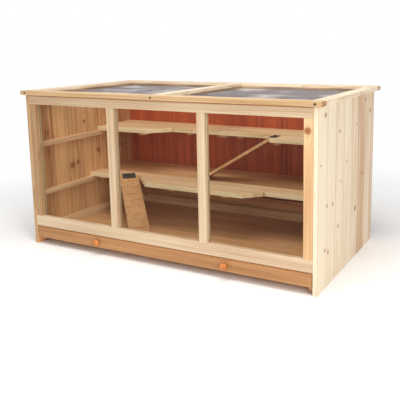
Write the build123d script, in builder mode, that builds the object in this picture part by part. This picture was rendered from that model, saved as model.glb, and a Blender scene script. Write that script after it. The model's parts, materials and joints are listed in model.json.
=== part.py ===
from build123d import *

import os
from math import asin, atan, cos, degrees, hypot, radians, sin, sqrt, tan

# A wooden cage for small rodents: a pine box with three front windows, a glazed lid, two shelves joined by
# ramps, and a wide tray under the front frame. Millimetres, +Z up, +X to the right as seen from the front,
# and -Y to the front. The origin is at the middle of the bottom of the whole cage.

# Overall sizes
BODY_WIDTH = 1124.0
BODY_DEPTH = 590.0
HEIGHT = 575.0

# Side panels of tongued and grooved boards, which run down to the floor as feet
PANEL_THICK = 14.0
BOARD_COVER = 80.0
RIGHT_FIRST_JOINT = 80.0
LEFT_FIRST_JOINT = 30.0
VEE_SIDE = 2.6
BACK_THICK = 4.0
BACK_ABOVE_FLOOR = 24.0

# Front frame and its clear panes
FRAME_THICK = 16.0
TOP_RAIL_HEIGHT = 34.0
BOTTOM_RAIL_HEIGHT = 40.0
BOTTOM_RAIL_ABOVE_FLOOR = 70.0
STILE_WIDTH = 30.0
WINDOW_THICK = 3.0
WINDOW_LAP = 8.0
STRIP_THICK = 5.0
STRIP_GAP = 0.5

# Rails inside the back
REAR_RAIL_THICK = 16.0

# Lid
LID_THICK = 15.0
LID_SIDE_OVERHANG = 13.0
LID_FRONT_OVERHANG = 12.0
LID_REAR_OVERHANG = 38.0
LID_RAIL_WIDTH = 40.0
LID_PANE_THICK = 3.0
LID_PANE_LAP = 7.5
LID_PANE_GAP = 0.5
LID_PANE_RECESS = 1.0

# Shelves, their battens and cleats
SHELF_THICK = 16.0
UPPER_SHELF_TOP = 398.0
LOWER_SHELF_TOP = 213.0
BATTEN_THICK = 15.0
BATTEN_HEIGHT = 18.0
BATTEN_FRONT = 36.0
CLEAT_WIDTH = 20.0
CLEAT_HEIGHT = 10.0
JOINT_CLEAT_WIDTH = 38.0
CLEAT_SETBACK = 12.0
CLEAT_FROM_END = 50.0

# Upper shelf: two rear boards that meet in the middle, and two front boards
UPPER_REAR_DEPTH = 146.0
UPPER_REAR_JOINT = 66.0
UPPER_FRONT_DEPTH = 80.0
UPPER_LEFT_LENGTH = 248.0
UPPER_RIGHT_LENGTH = 302.0
UPPER_CLEAT_SPACING = 81.0
UPPER_BAY_CLEAT = 152.0

# Lower shelf: four boards from back to front, with a notch that takes the ramp at 45 degrees
LOWER_REAR_DEPTH = 123.0
LOWER_THIRD_DEPTH = 80.0
LOWER_SECOND_DEPTH = 80.0
LOWER_FRONT_DEPTH = 60.0
NOTCH_FROM_LEFT = 149.8
NOTCH_EDGE = 80.0
LOWER_RIGHT_LENGTH = 295.0
LOWER_CLEAT_SPACING = 118.0

# Ramps
RAMP_LENGTH = 350.0
RAMP_WIDTH = 76.0
RAMP_THICK = 10.0
RAMP_NOSE = 2.0
RAMP_GROOVE_PITCH = 36.0
RAMP_GROOVE_WIDTH = 3.0
RAMP_GROOVE_DEPTH = 2.0
FOOT_GAP = 0.5

# Tray under the front frame, with its runners and knobs
TRAY_TOP_GAP = 2.0
TRAY_FRONT_HEIGHT = 42.0
TRAY_FRONT_THICK = 12.0
TRAY_FRONT_PROUD = 2.0
TRAY_FRONT_SIDE_GAP = 1.5
TRAY_SIDE_GAP = 3.0
TRAY_WALL_THICK = 10.0
TRAY_BACK_THICK = 12.0
TRAY_BOTTOM_THICK = 4.0
TRAY_WALL_DROP = 4.0
TRAY_BOTTOM_LIFT = 0.5
TRAY_BACK_GAP = 0.5
RUNNER_SIDE = 15.0
RUNNER_FRONT_GAP = 2.0
KNOB_DIAMETER = 25.0
KNOB_LENGTH = 20.0
KNOB_SPIGOT_RADIUS = 4.0
KNOB_SPIGOT_LENGTH = 10.0
KNOB_SPREAD = 514.0

# Butt hinges: the pin stands off the wood by the face distance
LID_HINGE_SPREAD = 720.0
LID_HINGE_WIDTH = 60.0
LID_LEAF_LENGTH = 25.0
LID_LEAF_THICK = 1.2
LID_BARREL_RADIUS = 3.0
LID_PIN_RADIUS = 1.3
RAMP_HINGE_WIDTH = 52.0
RAMP_LEAF_LENGTH = 22.0
RAMP_LEAF_THICK = 1.0
RAMP_BARREL_RADIUS = 2.5
RAMP_PIN_RADIUS = 1.0
RAMP_PIN_REACH = 3.5
PIN_CLEARANCE = 0.05
KNUCKLE_GAP = 0.3
BARREL_GAP = 0.3
LEAF_NOTCH_GAP = 0.4

# Countersunk screws
LID_HINGE_SCREW = {"head": 3.4, "shank": 1.7, "length": 12.0}
RAMP_HINGE_SCREW = {"head": 2.8, "shank": 1.3, "length": 7.0}
LID_SCREW = {"head": 4.0, "shank": 2.0, "length": 65.0}
LID_SCREW_INSET = 20.0
SCREW_CLEARANCE = 0.1
SCREW_ROW_SHARE = 0.64
SCREW_SPREAD_SHARE = 0.32

# Fits and eased edges
FIT_CLEARANCE = 0.1
WOOD_EASE = 1.0
SHELF_EASE = 0.7
TRAY_EASE = 2.0

# Places worked out from the sizes: x from the left, y from the front, z from the floor
KNOB_REACH = TRAY_FRONT_PROUD + KNOB_LENGTH
OVERALL_DEPTH = KNOB_REACH + BODY_DEPTH + LID_REAR_OVERHANG
FRONT = KNOB_REACH - OVERALL_DEPTH / 2
BACK = FRONT + BODY_DEPTH
INNER_BACK = BACK - BACK_THICK
LEFT = -BODY_WIDTH / 2
RIGHT = BODY_WIDTH / 2
INNER_LEFT = LEFT + PANEL_THICK
INNER_RIGHT = RIGHT - PANEL_THICK
BODY_TOP = HEIGHT - LID_THICK
FRAME_BACK = FRONT + FRAME_THICK
WINDOW_BOTTOM = BOTTOM_RAIL_ABOVE_FLOOR + BOTTOM_RAIL_HEIGHT
WINDOW_TOP = BODY_TOP - TOP_RAIL_HEIGHT
WINDOW_WIDTH = (INNER_RIGHT - INNER_LEFT - 4 * STILE_WIDTH) / 3
UPRIGHT_PITCH = WINDOW_WIDTH + STILE_WIDTH
REAR_RAIL_FRONT = INNER_BACK - REAR_RAIL_THICK
LEDGER_FRONT = INNER_BACK - BATTEN_THICK

LID_LEFT = LEFT - LID_SIDE_OVERHANG
LID_RIGHT = RIGHT + LID_SIDE_OVERHANG
LID_FRONT = FRONT - LID_FRONT_OVERHANG
LID_BACK = BACK + LID_REAR_OVERHANG
LID_INNER_FRONT = LID_FRONT + LID_RAIL_WIDTH
LID_INNER_BACK = LID_BACK - LID_RAIL_WIDTH
LID_BAYS = {
    "left": (LID_LEFT + LID_RAIL_WIDTH, -LID_RAIL_WIDTH / 2),
    "right": (LID_RIGHT - LID_RAIL_WIDTH, LID_RAIL_WIDTH / 2),
}

UPPER_MIDDLE_FRONT = INNER_BACK - UPPER_REAR_DEPTH
UPPER_SIDE_FRONT = UPPER_MIDDLE_FRONT - UPPER_FRONT_DEPTH
UPPER_LEFT_END = INNER_LEFT + UPPER_LEFT_LENGTH
UPPER_RIGHT_END = INNER_RIGHT - UPPER_RIGHT_LENGTH

LOWER_THIRD_BACK = INNER_BACK - LOWER_REAR_DEPTH
LOWER_SECOND_BACK = LOWER_THIRD_BACK - LOWER_THIRD_DEPTH
LOWER_SIDE_FRONT = LOWER_SECOND_BACK - LOWER_SECOND_DEPTH
LOWER_MIDDLE_FRONT = LOWER_SIDE_FRONT - LOWER_FRONT_DEPTH
NOTCH_LEG = NOTCH_EDGE / sqrt(2)
NOTCH_START = INNER_LEFT + NOTCH_FROM_LEFT
NOTCH_CORNER = NOTCH_START + NOTCH_LEG
NOTCH_END = NOTCH_CORNER + NOTCH_LEG
LOWER_RIGHT_END = INNER_RIGHT - LOWER_RIGHT_LENGTH

TRAY_FRONT_TOP = BOTTOM_RAIL_ABOVE_FLOOR - TRAY_TOP_GAP
TRAY_FRONT_BOTTOM = TRAY_FRONT_TOP - TRAY_FRONT_HEIGHT
TRAY_BOTTOM = TRAY_FRONT_BOTTOM + TRAY_BOTTOM_LIFT
TRAY_FLOOR = TRAY_BOTTOM + TRAY_BOTTOM_THICK
TRAY_WALL_TOP = BOTTOM_RAIL_ABOVE_FLOOR - TRAY_WALL_DROP
TRAY_FACE = FRONT - TRAY_FRONT_PROUD
TRAY_FRONT_BACK = TRAY_FACE + TRAY_FRONT_THICK
TRAY_BACK = INNER_BACK - TRAY_BACK_GAP
TRAY_LEFT = INNER_LEFT + TRAY_SIDE_GAP
TRAY_RIGHT = INNER_RIGHT - TRAY_SIDE_GAP
KNOB_HEIGHT = (TRAY_FRONT_TOP + TRAY_FRONT_BOTTOM) / 2

# Distance from the middle of a hinge's pin to the wood that its leaves lie on
LID_PIN_FACE = LID_BARREL_RADIUS + BARREL_GAP
RAMP_PIN_FACE = RAMP_LEAF_THICK / 2
LID_PIN_BACK = BACK + LID_PIN_FACE
LID_PIN_HEIGHT = BODY_TOP - LID_PIN_FACE
UP = Vector(0, 0, 1)
RIGHTWARD = Vector(1, 0, 0)
BACKWARD = Vector(0, 1, 0)
NOTCH_HEADING = Vector(1, -1, 0).normalized()


def save(builder, label):
    """Name a finished piece and write it to its own file."""
    builder.part.label = label
    export_step(builder.part, f"parts/{label}.step")


def block(x, y, z, mode=Mode.ADD):
    """A straight block between two x, two y and two z faces, in the part block around the call."""
    with Locations((sum(x) / 2, sum(y) / 2, sum(z) / 2)):
        Box(abs(x[1] - x[0]), abs(y[1] - y[0]), z[1] - z[0], mode=mode)


def outline_block(points, z):
    """A flat board with the given corners, in the part block around the call."""
    with BuildSketch(Plane.XY.offset(z[0])) as outline:
        with BuildLine():
            Polyline(*points, close=True)
        make_face()
    extrude(outline.sketch, amount=z[1] - z[0])


def board(label, x, y, z, ease=WOOD_EASE):
    """A straight board with its long edges eased."""
    spans = {Axis.X: abs(x[1] - x[0]), Axis.Y: abs(y[1] - y[0]), Axis.Z: z[1] - z[0]}
    grain = max(spans, key=spans.get)
    with BuildPart() as piece:
        block(x, y, z)
        fillet(piece.edges().filter_by(grain), ease)
    save(piece, label)


def screw(plane, size, grow=0.0, mode=Mode.ADD):
    """A countersunk screw, or the hole for it, with its head flush with the plane and its point below it."""
    head, shank, length = size["head"] + grow, size["shank"] + grow, size["length"] + grow
    with BuildSketch(Plane(plane.origin, x_dir=plane.x_dir, z_dir=-plane.y_dir)) as half:
        with BuildLine():
            Polyline((0, 0), (head, 0), (shank, shank - head), (shank, -length), (0, -length), close=True)
        make_face()
    revolve(half.sketch, axis=Axis(plane.origin, plane.z_dir), mode=mode)


def screw_holes(places, size):
    """The holes that take the screws at these places, cut from the part block around the call."""
    for place in places:
        screw(place, size, grow=SCREW_CLEARANCE, mode=Mode.SUBTRACT)


def leaf_plane(pin, away, toward_wood):
    """The plane of one hinge leaf: origin at the pin, x away from it along the leaf, z into the wood."""
    return Plane(origin=pin, x_dir=away, z_dir=toward_wood)


def leaf_screw_places(plane, width, length, thick, face):
    """Two places across a leaf, on its outer face, where the screws enter."""
    row = length * SCREW_ROW_SHARE
    return [
        Plane(
            origin=plane.from_local_coords(Vector(row, side * width * SCREW_SPREAD_SHARE, face - thick)),
            x_dir=plane.x_dir,
            z_dir=-plane.z_dir,
        )
        for side in (-1, 1)
    ]


def knuckle_spans(width, fixed):
    """The stretches along the pin that one leaf's knuckles take: the two ends, or the middle."""
    third = width / 3
    if fixed:
        return [(-width / 2, -third / 2 - KNUCKLE_GAP), (third / 2 + KNUCKLE_GAP, width / 2)]
    return [(-third / 2, third / 2)]


def hinge_leaf(plane, width, length, thick, face, barrel, pin, size, fixed):
    """One leaf of a butt hinge: plate, knuckles and screw holes, and the pin if it is fixed."""
    root = barrel + LEAF_NOTCH_GAP
    barrel_plane = Plane(origin=plane.origin, x_dir=plane.x_dir, z_dir=plane.y_dir)
    with BuildPart(plane, mode=Mode.PRIVATE) as leaf:
        block((root, length), (-width / 2, width / 2), (face - thick, face))
        for low, high in knuckle_spans(width, fixed):
            block((0, root), (low, high), (face - thick, face))
            with BuildSketch(barrel_plane.offset(low)) as round_face:
                Circle(barrel)
            extrude(round_face.sketch, amount=high - low)
        with BuildSketch(barrel_plane.offset(-width / 2)) as bore:
            Circle(pin if fixed else pin + PIN_CLEARANCE)
        extrude(bore.sketch, amount=width, mode=Mode.ADD if fixed else Mode.SUBTRACT)
        screw_holes(leaf_screw_places(plane, width, length, thick, face), size)
    return leaf.part


LID_LEAF = {
    "width": LID_HINGE_WIDTH,
    "length": LID_LEAF_LENGTH,
    "thick": LID_LEAF_THICK,
    "face": LID_PIN_FACE,
}
RAMP_LEAF = {
    "width": RAMP_HINGE_WIDTH,
    "length": RAMP_LEAF_LENGTH,
    "thick": RAMP_LEAF_THICK,
    "face": RAMP_PIN_FACE,
}


def lid_hinge_planes(away, toward_wood):
    """The leaf planes of the two lid hinges, in the corner under the lid's overhang."""
    middles = [Vector(side * LID_HINGE_SPREAD / 2, LID_PIN_BACK, LID_PIN_HEIGHT) for side in (-1, 1)]
    return [leaf_plane(middle, away, toward_wood) for middle in middles]


def ramp_slope(rise):
    """The slope in radians of a ramp whose pin is this far above the landing that its foot rests on."""
    reach = RAMP_LENGTH + RAMP_PIN_REACH
    foot = RAMP_PIN_FACE + RAMP_NOSE
    return asin((rise - FOOT_GAP) / hypot(reach, foot)) - atan(foot / reach)


def ramp_places(edge_middle, heading, landing):
    """The slope of a ramp hung on a shelf edge, with the planes of its two hinge leaves."""
    pin = edge_middle + heading * RAMP_PIN_REACH + UP * RAMP_PIN_FACE
    slope = ramp_slope(pin.Z - landing)
    down = heading * cos(slope) - UP * sin(slope)
    into_ramp = heading * -sin(slope) - UP * cos(slope)
    return slope, leaf_plane(pin, down, into_ramp), leaf_plane(pin, heading * -1, UP * -1)


LID_BODY_LEAVES = lid_hinge_planes(UP * -1, BACKWARD * -1)
LID_MOVING_LEAVES = lid_hinge_planes(BACKWARD, UP)
NOTCH_MIDDLE = Vector(NOTCH_START + NOTCH_LEG / 2, LOWER_SIDE_FRONT + NOTCH_LEG / 2, LOWER_SHELF_TOP)
UPPER_RAMP_EDGE = Vector(UPPER_RIGHT_END, UPPER_SIDE_FRONT + UPPER_FRONT_DEPTH / 2, UPPER_SHELF_TOP)
LOWER_SLOPE, LOWER_RAMP_PLANE, LOWER_SHELF_LEAF = ramp_places(NOTCH_MIDDLE, NOTCH_HEADING, TRAY_FLOOR)
UPPER_SLOPE, UPPER_RAMP_PLANE, UPPER_SHELF_LEAF = ramp_places(
    UPPER_RAMP_EDGE, RIGHTWARD * -1, LOWER_SHELF_TOP
)


def lid_body_screw_places():
    """Where screws hold the lid hinges to the back of the body."""
    return [place for plane in LID_BODY_LEAVES for place in leaf_screw_places(plane, **LID_LEAF)]


def lid_moving_screw_places():
    """Where screws hold the lid hinges to the underside of the lid."""
    return [place for plane in LID_MOVING_LEAVES for place in leaf_screw_places(plane, **LID_LEAF)]


def lid_screw_places():
    """Where three long screws enter the front edge of the lid."""
    height = BODY_TOP + LID_THICK / 2
    return [
        Plane(origin=(x, LID_FRONT, height), x_dir=(1, 0, 0), z_dir=(0, -1, 0))
        for x in (LID_LEFT + LID_SCREW_INSET, 0, LID_RIGHT - LID_SCREW_INSET)
    ]


def side_panels():
    """Two upright side panels, with a vee groove at each joint between their boards, inside and outside."""
    height = (0, BODY_TOP)
    panels = {
        "left_side_panel": (LEFT, INNER_LEFT, LEFT_FIRST_JOINT),
        "right_side_panel": (INNER_RIGHT, RIGHT, RIGHT_FIRST_JOINT),
    }
    for label, (near, far, first) in panels.items():
        count = int((INNER_BACK - FRONT - first - VEE_SIDE) // BOARD_COVER) + 1
        joints = [(x, FRONT + first + i * BOARD_COVER) for i in range(count) for x in (near, far)]
        with BuildPart() as panel:
            block((near, far), (FRONT, INNER_BACK), height)
            fillet(panel.edges().filter_by(Axis.Z).group_by(Axis.Y)[0], WOOD_EASE)
            with BuildSketch(Plane.XY) as vees:
                with Locations(*joints):
                    Rectangle(VEE_SIDE, VEE_SIDE, rotation=45)
            extrude(amount=BODY_TOP, mode=Mode.SUBTRACT)
        save(panel, label)


def back_panel():
    """A thin plywood back over the rear edges of the side panels."""
    with BuildPart() as panel:
        block((LEFT, RIGHT), (INNER_BACK, BACK), (BACK_ABOVE_FLOOR, BODY_TOP))
        screw_holes(lid_body_screw_places(), LID_HINGE_SCREW)
    save(panel, "back_panel")


def front_frame():
    """Two rails between the side panels and four uprights between the rails."""
    depth = (FRONT, FRAME_BACK)
    board("front_top_rail", (INNER_LEFT, INNER_RIGHT), depth, (WINDOW_TOP, BODY_TOP))
    board("front_bottom_rail", (INNER_LEFT, INNER_RIGHT), depth, (BOTTOM_RAIL_ABOVE_FLOOR, WINDOW_BOTTOM))
    for i, label in enumerate(("left_stile", "left_mullion", "right_mullion", "right_stile")):
        start = INNER_LEFT + i * UPRIGHT_PITCH
        board(label, (start, start + STILE_WIDTH), depth, (WINDOW_BOTTOM, WINDOW_TOP))


def windows():
    """Three clear panes that lap behind the front frame."""
    for i, label in enumerate(("left_window", "middle_window", "right_window")):
        start = INNER_LEFT + i * UPRIGHT_PITCH + STILE_WIDTH
        with BuildPart() as pane:
            block(
                (start - WINDOW_LAP, start + WINDOW_WIDTH + WINDOW_LAP),
                (FRAME_BACK, FRAME_BACK + WINDOW_THICK),
                (WINDOW_BOTTOM - WINDOW_LAP, WINDOW_TOP + WINDOW_LAP),
            )
        save(pane, label)


def window_strips():
    """Four upright strips behind the uprights, each with a tongue between or beside the panes."""
    height = (WINDOW_BOTTOM - WINDOW_LAP, WINDOW_TOP + WINDOW_LAP)
    plate = (FRAME_BACK + WINDOW_THICK, FRAME_BACK + WINDOW_THICK + STRIP_THICK)
    with BuildPart() as strips:
        for i in range(4):
            start = INNER_LEFT + i * UPRIGHT_PITCH
            low = start if i == 0 else start + WINDOW_LAP + STRIP_GAP
            high = start + STILE_WIDTH
            if i < 3:
                high = high - WINDOW_LAP - STRIP_GAP
            block((start, start + STILE_WIDTH), plate, height)
            block((low, high), (FRAME_BACK, plate[0]), height)
    save(strips, "window_strips")


def rear_rails():
    """The rail that the lid hinges screw into, and a low rail, both inside the back panel."""
    depth = (REAR_RAIL_FRONT, INNER_BACK)
    with BuildPart() as rail:
        block((INNER_LEFT, INNER_RIGHT), depth, (WINDOW_TOP, BODY_TOP))
        screw_holes(lid_body_screw_places(), LID_HINGE_SCREW)
    save(rail, "rear_top_rail")
    board("rear_bottom_rail", (INNER_LEFT, INNER_RIGHT), depth, (BOTTOM_RAIL_ABOVE_FLOOR, WINDOW_BOTTOM))


def battens():
    """Side and rear battens under each shelf."""
    sides = {
        "left": (INNER_LEFT, INNER_LEFT + BATTEN_THICK),
        "right": (INNER_RIGHT - BATTEN_THICK, INNER_RIGHT),
    }
    ledger = (INNER_LEFT + BATTEN_THICK, INNER_RIGHT - BATTEN_THICK)
    for level, top in {"upper": UPPER_SHELF_TOP, "lower": LOWER_SHELF_TOP}.items():
        height = (top - SHELF_THICK - BATTEN_HEIGHT, top - SHELF_THICK)
        for side, x in sides.items():
            board(f"{side}_{level}_batten", x, (FRONT + BATTEN_FRONT, INNER_BACK), height)
        board(f"{level}_ledger", ledger, (LEDGER_FRONT, INNER_BACK), height)


def shelf_board(label, points, top, joints=(), holes=()):
    """One shelf board with eased top edges, vee joints across its depth and holes for hinge screws."""
    xs = [x for x, y in points]
    with BuildPart() as piece:
        outline_block(points, (top - SHELF_THICK, top))
        chamfer(piece.faces().sort_by(Axis.Z)[-1].edges(), SHELF_EASE)
        for y in joints:
            with BuildSketch(Plane.YZ.offset(min(xs))) as vee:
                with Locations((y, top), (y, top - SHELF_THICK)):
                    Rectangle(VEE_SIDE, VEE_SIDE, rotation=45)
            extrude(vee.sketch, amount=max(xs) - min(xs), mode=Mode.SUBTRACT)
        screw_holes(holes, RAMP_HINGE_SCREW)
    save(piece, label)


def corners(x, y):
    """The four corners of a rectangle."""
    return [(x[0], y[0]), (x[1], y[0]), (x[1], y[1]), (x[0], y[1])]


def upper_shelf():
    """The upper shelf: a bay in the middle of its front is left open for the ramp."""
    joint = [INNER_BACK - UPPER_REAR_JOINT]
    rear = (UPPER_MIDDLE_FRONT, INNER_BACK)
    shelf_board("upper_left_rear_board", corners((INNER_LEFT, 0), rear), UPPER_SHELF_TOP, joint)
    shelf_board("upper_right_rear_board", corners((0, INNER_RIGHT), rear), UPPER_SHELF_TOP, joint)
    left = [
        (INNER_LEFT, UPPER_SIDE_FRONT),
        (UPPER_LEFT_END, UPPER_SIDE_FRONT),
        (UPPER_LEFT_END + UPPER_FRONT_DEPTH, UPPER_MIDDLE_FRONT),
        (INNER_LEFT, UPPER_MIDDLE_FRONT),
    ]
    shelf_board("upper_left_front_board", left, UPPER_SHELF_TOP)
    right = corners((UPPER_RIGHT_END, INNER_RIGHT), (UPPER_SIDE_FRONT, UPPER_MIDDLE_FRONT))
    holes = leaf_screw_places(UPPER_SHELF_LEAF, **RAMP_LEAF)
    shelf_board("upper_right_front_board", right, UPPER_SHELF_TOP, holes=holes)


def lower_shelf():
    """The lower shelf: four boards, with the ramp's notch at the left and a bevelled middle front."""
    full = (INNER_LEFT, INNER_RIGHT)
    shelf_board("lower_rear_board", corners(full, (LOWER_THIRD_BACK, INNER_BACK)), LOWER_SHELF_TOP)
    shelf_board("lower_third_board", corners(full, (LOWER_SECOND_BACK, LOWER_THIRD_BACK)), LOWER_SHELF_TOP)
    second = [
        (INNER_LEFT, LOWER_SIDE_FRONT),
        (NOTCH_START, LOWER_SIDE_FRONT),
        (NOTCH_CORNER, LOWER_SIDE_FRONT + NOTCH_LEG),
        (NOTCH_END, LOWER_SIDE_FRONT),
        (INNER_RIGHT, LOWER_SIDE_FRONT),
        (INNER_RIGHT, LOWER_SECOND_BACK),
        (INNER_LEFT, LOWER_SECOND_BACK),
    ]
    holes = leaf_screw_places(LOWER_SHELF_LEAF, **RAMP_LEAF)
    shelf_board("lower_second_board", second, LOWER_SHELF_TOP, holes=holes)
    front = [
        (NOTCH_END + LOWER_FRONT_DEPTH, LOWER_MIDDLE_FRONT),
        (LOWER_RIGHT_END - LOWER_FRONT_DEPTH, LOWER_MIDDLE_FRONT),
        (LOWER_RIGHT_END, LOWER_SIDE_FRONT),
        (NOTCH_END, LOWER_SIDE_FRONT),
    ]
    shelf_board("lower_front_board", front, LOWER_SHELF_TOP)


def shelf_cleats():
    """Cleats that tie the boards of each shelf together from below."""
    upper = [
        (INNER_LEFT + CLEAT_FROM_END, UPPER_SIDE_FRONT, CLEAT_WIDTH),
        (UPPER_LEFT_END - CLEAT_WIDTH * 1.5, UPPER_SIDE_FRONT, CLEAT_WIDTH),
        (-UPPER_BAY_CLEAT, UPPER_MIDDLE_FRONT, CLEAT_WIDTH),
        (0, UPPER_MIDDLE_FRONT, JOINT_CLEAT_WIDTH),
        (UPPER_CLEAT_SPACING, UPPER_MIDDLE_FRONT, CLEAT_WIDTH),
        (UPPER_RIGHT_END + CLEAT_WIDTH, UPPER_SIDE_FRONT, CLEAT_WIDTH),
        (INNER_RIGHT - CLEAT_FROM_END, UPPER_SIDE_FRONT, CLEAT_WIDTH),
    ]
    lower = [
        (INNER_LEFT + CLEAT_FROM_END, LOWER_SIDE_FRONT, CLEAT_WIDTH),
        (-LOWER_CLEAT_SPACING, LOWER_MIDDLE_FRONT, CLEAT_WIDTH),
        (LOWER_CLEAT_SPACING, LOWER_MIDDLE_FRONT, CLEAT_WIDTH),
        (INNER_RIGHT - CLEAT_FROM_END, LOWER_SIDE_FRONT, CLEAT_WIDTH),
    ]
    for level, cleats, top in (("upper", upper, UPPER_SHELF_TOP), ("lower", lower, LOWER_SHELF_TOP)):
        height = (top - SHELF_THICK - CLEAT_HEIGHT, top - SHELF_THICK)
        with BuildPart() as piece:
            for middle, front, width in cleats:
                block((middle - width / 2, middle + width / 2), (front + CLEAT_SETBACK, LEDGER_FRONT), height)
        save(piece, f"{level}_shelf_cleats")


def tray_runners():
    """Runners on the side panels that the tray slides on."""
    height = (TRAY_BOTTOM - RUNNER_SIDE, TRAY_BOTTOM)
    depth = (TRAY_FRONT_BACK + RUNNER_FRONT_GAP, INNER_BACK)
    board("left_tray_runner", (INNER_LEFT, INNER_LEFT + RUNNER_SIDE), depth, height)
    board("right_tray_runner", (INNER_RIGHT - RUNNER_SIDE, INNER_RIGHT), depth, height)


def lid_rebates():
    """Cut the rebates that take the two lid panes, from below."""
    for outer, inner in LID_BAYS.values():
        low, high = min(outer, inner), max(outer, inner)
        lap = LID_PANE_LAP + LID_PANE_GAP
        block(
            (low - lap, high + lap),
            (LID_INNER_FRONT - lap, LID_INNER_BACK + lap),
            (BODY_TOP, BODY_TOP + LID_PANE_RECESS + LID_PANE_THICK),
            mode=Mode.SUBTRACT,
        )


def lid_rail(label, x, y, grain, holes=(), size=LID_SCREW):
    """One rail of the lid, with eased edges along its grain, the pane rebates and screw holes."""
    with BuildPart() as rail:
        block(x, y, (BODY_TOP, HEIGHT))
        fillet(rail.edges().filter_by(grain).group_by(Axis.Z)[-1], WOOD_EASE)
        lid_rebates()
        screw_holes(holes, size)
    save(rail, label)


def lid_frame():
    """The lid's front and back rails run full width, and the side rails and middle bar stand between them."""
    between = (LID_INNER_FRONT, LID_INNER_BACK)
    left_screw, middle_screw, right_screw = lid_screw_places()
    lid_rail(
        "lid_front_rail",
        (LID_LEFT, LID_RIGHT),
        (LID_FRONT, LID_INNER_FRONT),
        Axis.X,
        lid_screw_places(),
    )
    lid_rail(
        "lid_back_rail",
        (LID_LEFT, LID_RIGHT),
        (LID_INNER_BACK, LID_BACK),
        Axis.X,
        lid_moving_screw_places(),
        LID_HINGE_SCREW,
    )
    lid_rail("lid_left_rail", (LID_LEFT, LID_LEFT + LID_RAIL_WIDTH), between, Axis.Y, [left_screw])
    lid_rail("lid_right_rail", (LID_RIGHT - LID_RAIL_WIDTH, LID_RIGHT), between, Axis.Y, [right_screw])
    lid_rail("lid_middle_bar", (-LID_RAIL_WIDTH / 2, LID_RAIL_WIDTH / 2), between, Axis.Y, [middle_screw])


def lid_panes():
    """Two clear panes in the lid's rebates."""
    for side, (outer, inner) in LID_BAYS.items():
        low, high = min(outer, inner), max(outer, inner)
        with BuildPart() as pane:
            block(
                (low - LID_PANE_LAP, high + LID_PANE_LAP),
                (LID_INNER_FRONT - LID_PANE_LAP, LID_INNER_BACK + LID_PANE_LAP),
                (BODY_TOP + LID_PANE_RECESS, BODY_TOP + LID_PANE_RECESS + LID_PANE_THICK),
            )
        save(pane, f"lid_{side}_pane")


def lid_hinges():
    """Two butt hinges: the leaves on the body, which hold the pins, and the leaves on the lid."""
    shape = {**LID_LEAF, "barrel": LID_BARREL_RADIUS, "pin": LID_PIN_RADIUS, "size": LID_HINGE_SCREW}
    with BuildPart() as body_leaves:
        for plane in LID_BODY_LEAVES:
            add(hinge_leaf(plane, fixed=True, **shape))
    save(body_leaves, "lid_hinge_body_leaves")
    with BuildPart() as moving_leaves:
        for plane in LID_MOVING_LEAVES:
            add(hinge_leaf(plane, fixed=False, **shape))
    save(moving_leaves, "lid_hinge_lid_leaves")


def ramp(level, plane, slope, shelf_leaf):
    """A ramp board with saw-cut grooves and a level foot, and the two leaves of its hinge."""
    reach = RAMP_LENGTH + RAMP_PIN_REACH
    top, bottom = RAMP_PIN_FACE, RAMP_PIN_FACE + RAMP_THICK
    heel = reach - (RAMP_THICK - RAMP_NOSE) / tan(slope)
    side_plane = Plane(origin=plane.origin, x_dir=plane.x_dir, z_dir=-plane.y_dir)
    count = int((RAMP_LENGTH - RAMP_GROOVE_PITCH / 2) // RAMP_GROOVE_PITCH)
    cuts = [(RAMP_PIN_REACH + (i + 1) * RAMP_GROOVE_PITCH, top) for i in range(count)]
    with BuildPart() as slope_board:
        with BuildSketch(side_plane) as profile:
            with BuildLine():
                Polyline(
                    (RAMP_PIN_REACH, top),
                    (reach, top),
                    (reach, top + RAMP_NOSE),
                    (heel, bottom),
                    (RAMP_PIN_REACH, bottom),
                    close=True,
                )
            make_face()
            with Locations(*cuts):
                Rectangle(RAMP_GROOVE_WIDTH, 2 * RAMP_GROOVE_DEPTH, mode=Mode.SUBTRACT)
        extrude(amount=RAMP_WIDTH / 2, both=True)
        screw_holes(leaf_screw_places(plane, **RAMP_LEAF), RAMP_HINGE_SCREW)
    save(slope_board, f"{level}_ramp_board")
    shape = {**RAMP_LEAF, "barrel": RAMP_BARREL_RADIUS, "pin": RAMP_PIN_RADIUS, "size": RAMP_HINGE_SCREW}
    with BuildPart() as fixed_leaf:
        add(hinge_leaf(shelf_leaf, fixed=True, **shape))
    save(fixed_leaf, f"{level}_ramp_shelf_leaf")
    with BuildPart() as moving_leaf:
        add(hinge_leaf(plane, fixed=False, **shape))
    save(moving_leaf, f"{level}_ramp_leaf")


def screws():
    """All screws, in one node for each body that they hold to."""
    shelf_places = [
        *leaf_screw_places(LOWER_SHELF_LEAF, **RAMP_LEAF),
        *leaf_screw_places(UPPER_SHELF_LEAF, **RAMP_LEAF),
    ]
    with BuildPart() as body_screws:
        for place in lid_body_screw_places():
            screw(place, LID_HINGE_SCREW)
        for place in shelf_places:
            screw(place, RAMP_HINGE_SCREW)
    save(body_screws, "body_hinge_screws")
    with BuildPart() as lid_screws:
        for place in lid_screw_places():
            screw(place, LID_SCREW)
        for place in lid_moving_screw_places():
            screw(place, LID_HINGE_SCREW)
    save(lid_screws, "lid_screws")
    for level, plane in (("lower", LOWER_RAMP_PLANE), ("upper", UPPER_RAMP_PLANE)):
        with BuildPart() as ramp_screws:
            for place in leaf_screw_places(plane, **RAMP_LEAF):
                screw(place, RAMP_HINGE_SCREW)
        save(ramp_screws, f"{level}_ramp_screws")


def knob_places():
    """The middles of the two knobs on the face of the tray."""
    return {"left": -KNOB_SPREAD / 2, "right": KNOB_SPREAD / 2}


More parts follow.
